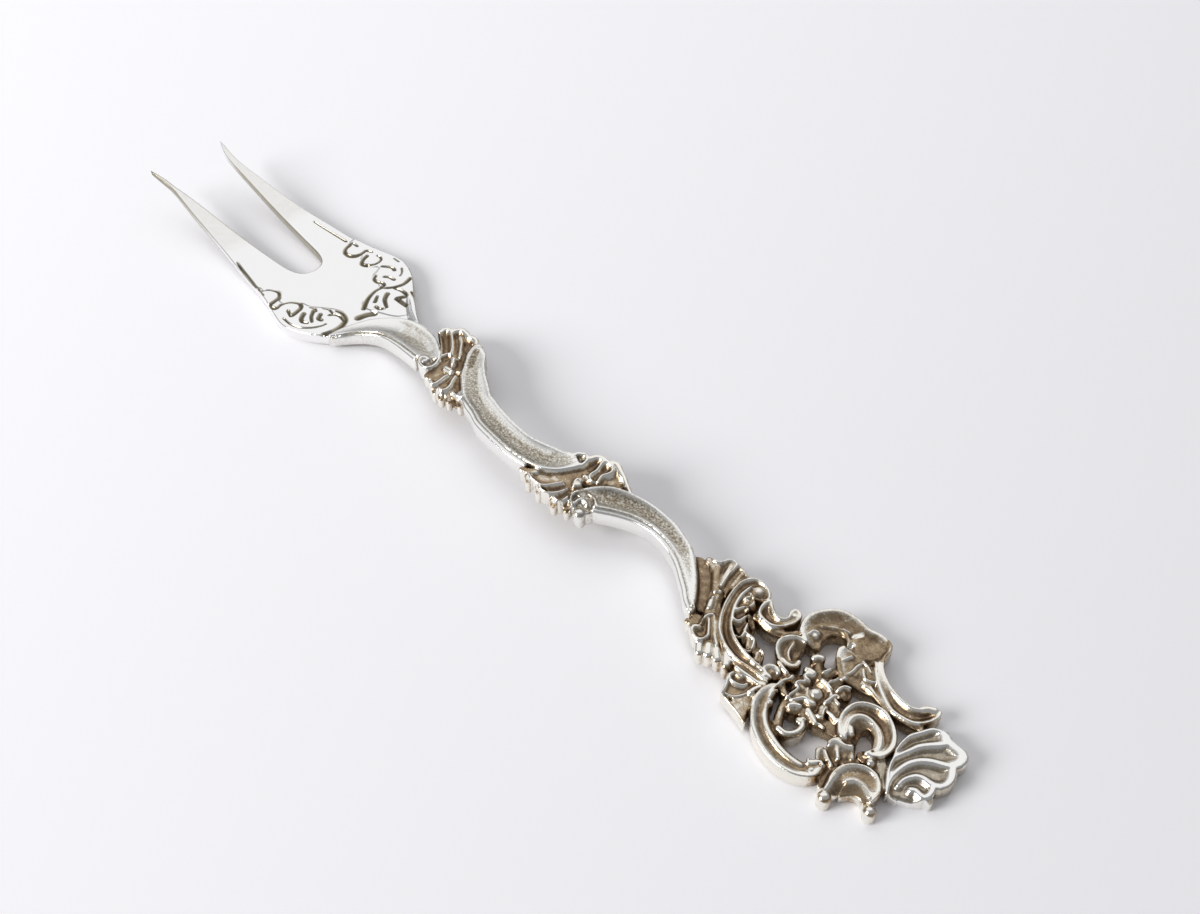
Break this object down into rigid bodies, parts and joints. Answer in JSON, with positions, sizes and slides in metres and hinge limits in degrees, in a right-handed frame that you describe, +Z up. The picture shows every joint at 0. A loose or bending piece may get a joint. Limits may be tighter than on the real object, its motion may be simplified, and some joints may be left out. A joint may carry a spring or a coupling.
{
  "type": "pickle fork",
  "caption": "Small silver serving fork with a flat pronged head, carved rim and an arched openwork handle of fluted bands, lobed knots and rococo scrolls, for lifting pickles and cold meat.",
  "frame": {"origin": "on the table, under the middle of the fork's outline", "axes": "+X along the fork from the tines to the finial, +Z up from the table, the carved face upwards"},
  "size_m": [0.1501, 0.0247, 0.0064],
  "materials": {
    "polished_silver": "polished silver with fine wear",
    "cast_silver": "cast silver, bright on the ridges, brown tarnish in the hollows"
  },
  "bodies": {
    "root": {"tine_head": "polished_silver", "neck_band": "cast_silver", "upper_clasp": "cast_silver", "middle_band": "cast_silver", "lower_clasp": "cast_silver", "lower_band": "cast_silver", "collar_shell": "cast_silver", "leaf_scroll": "cast_silver", "lower_scroll": "cast_silver", "rosette": "cast_silver", "inner_scroll": "cast_silver", "foot_scroll": "cast_silver", "shell_finial": "cast_silver"}
  },
  "joints": []
}
